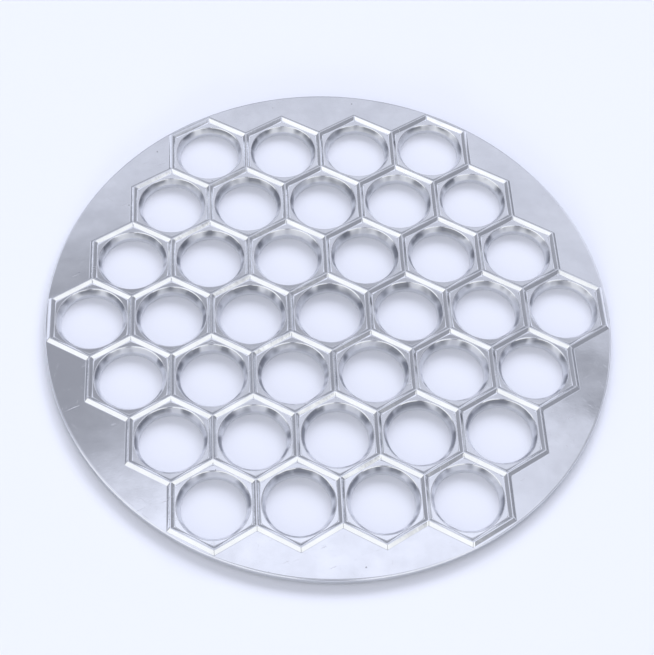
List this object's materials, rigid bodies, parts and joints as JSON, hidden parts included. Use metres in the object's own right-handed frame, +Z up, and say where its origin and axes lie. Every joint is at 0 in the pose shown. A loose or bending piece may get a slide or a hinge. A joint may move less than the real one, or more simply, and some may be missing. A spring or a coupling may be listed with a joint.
{
  "type": "dumpling mold",
  "caption": "Round cast aluminium plate with a honeycomb of open hexagonal cells; dough is laid over it, filled, covered and rolled, and the ribs part it into dumplings",
  "frame": {"origin": "in the plane of the collars' feet, which the plate stands on, under the middle cell", "axes": "+Z up through the plate, X along the rows of cells, Y across the rows"},
  "size_m": [0.245, 0.245, 0.0069],
  "materials": {
    "cast_aluminium": "bright satin cast aluminium, lightly polished, with fine scratches and shallow casting marks"
  },
  "bodies": {
    "root": {"mold_plate": "cast_aluminium"}
  },
  "joints": []
}
